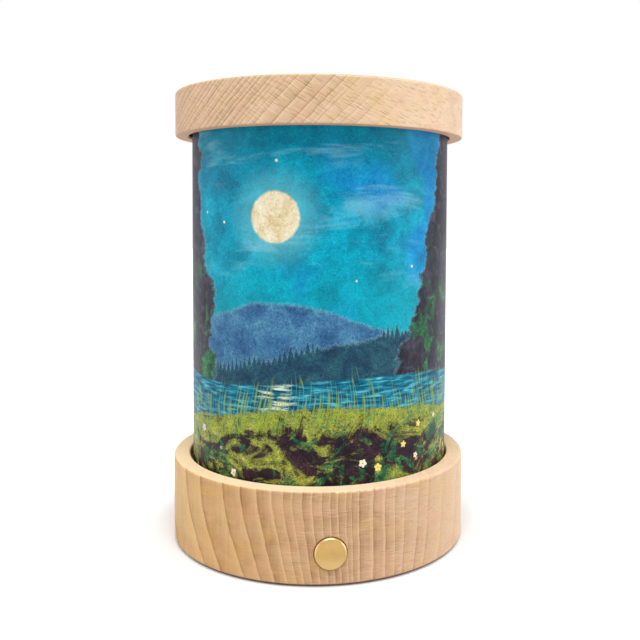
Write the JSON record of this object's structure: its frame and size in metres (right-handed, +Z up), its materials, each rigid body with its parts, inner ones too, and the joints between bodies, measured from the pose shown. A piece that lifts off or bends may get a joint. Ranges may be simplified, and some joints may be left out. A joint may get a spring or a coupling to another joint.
{
  "type": "table lantern",
  "caption": "Round table lantern with a turned wooden base and lid, a printed cylindrical shade on an opal tube, a push button and a rechargeable light unit.",
  "frame": {"origin": "on the surface that the lantern stands on, under the middle of the base", "axes": "+Z up, the push button faces -Y, the charging inlet faces +Y"},
  "size_m": [0.112, 0.1132, 0.1682],
  "materials": {
    "beech": "turned, sanded and waxed, satin",
    "pad_felt": "pressed felt",
    "black_plastic": "fine moulded texture",
    "white_plastic": "moulded, satin",
    "red_plastic": "moulded, satin",
    "opal_acrylic": "opal, semi-gloss",
    "printed_film": "printed sheet, semi-gloss",
    "polished_brass": "polished, slightly satin",
    "steel": "zinc-plated or plain",
    "green_board": "solder resist",
    "white_board": "white solder resist",
    "phosphor": "resin over the light",
    "chip_black": "moulded epoxy",
    "ferrite": "pressed powder",
    "foil": "bright foil",
    "foam": "closed-cell foam",
    "red_cover": "PVC insulation",
    "black_cover": "PVC insulation"
  },
  "bodies": {
    "base": {"base_body": "beech", "foot_pad": "pad_felt", "bottom_plate": "black_plastic", "plate_screws": "steel", "led_carrier": "white_plastic", "carrier_screws": "steel", "led_board": "white_board", "led_chips": "phosphor", "led_dome": "opal_acrylic", "button_guide": "polished_brass", "button_spring": "steel", "switch_body": "black_plastic", "switch_shroud": "black_plastic", "control_board": "green_board", "board_screws": "steel", "control_chips": "chip_black", "board_inductor": "ferrite", "board_capacitor": "foil", "connector_sockets": "white_plastic", "connector_plugs": "white_plastic", "battery_cell": "foil", "battery_foam": "foam", "usb_housing": "black_plastic", "usb_shell": "steel", "usb_tongue": "black_plastic", "usb_lead_red": "red_cover", "usb_lead_black": "black_cover", "light_lead_red": "red_cover", "light_lead_black": "black_cover", "battery_lead_red": "red_cover", "battery_lead_black": "black_cover"},
    "tube": {"diffuser_tube": "opal_acrylic"},
    "sleeve": {"picture_sleeve": "printed_film"},
    "lid": {"lid": "beech"},
    "button": {"push_button": "polished_brass", "button_clip": "steel"},
    "plunger": {"switch_plunger": "red_plastic"}
  },
  "joints": [
    {"name": "tube_lift", "type": "slide", "parent": "base", "child": "tube", "axis": [0, 0, 1], "range_m": [0, 0.025]},
    {"name": "sleeve_slide", "type": "slide", "parent": "tube", "child": "sleeve", "axis": [0, 0, 1], "range_m": [0, 0.14]},
    {"name": "lid_lift", "type": "slide", "parent": "sleeve", "child": "lid", "axis": [0, 0, 1], "range_m": [0, 0.025]},
    {"name": "button_press", "type": "slide", "parent": "base", "child": "button", "axis": [0, 1, 0], "range_m": [0, 0.0015], "stiffness_N_per_m": 250, "springref_m": -0.002, "deforming": ["button_spring"]},
    {"name": "plunger_press", "type": "slide", "parent": "base", "child": "plunger", "axis": [0, 1, 0], "range_m": [0, 0.0015]}
  ],
  "couplings": [
    {"joint": "plunger_press", "follows": "button_press", "ratio": 1}
  ]
}
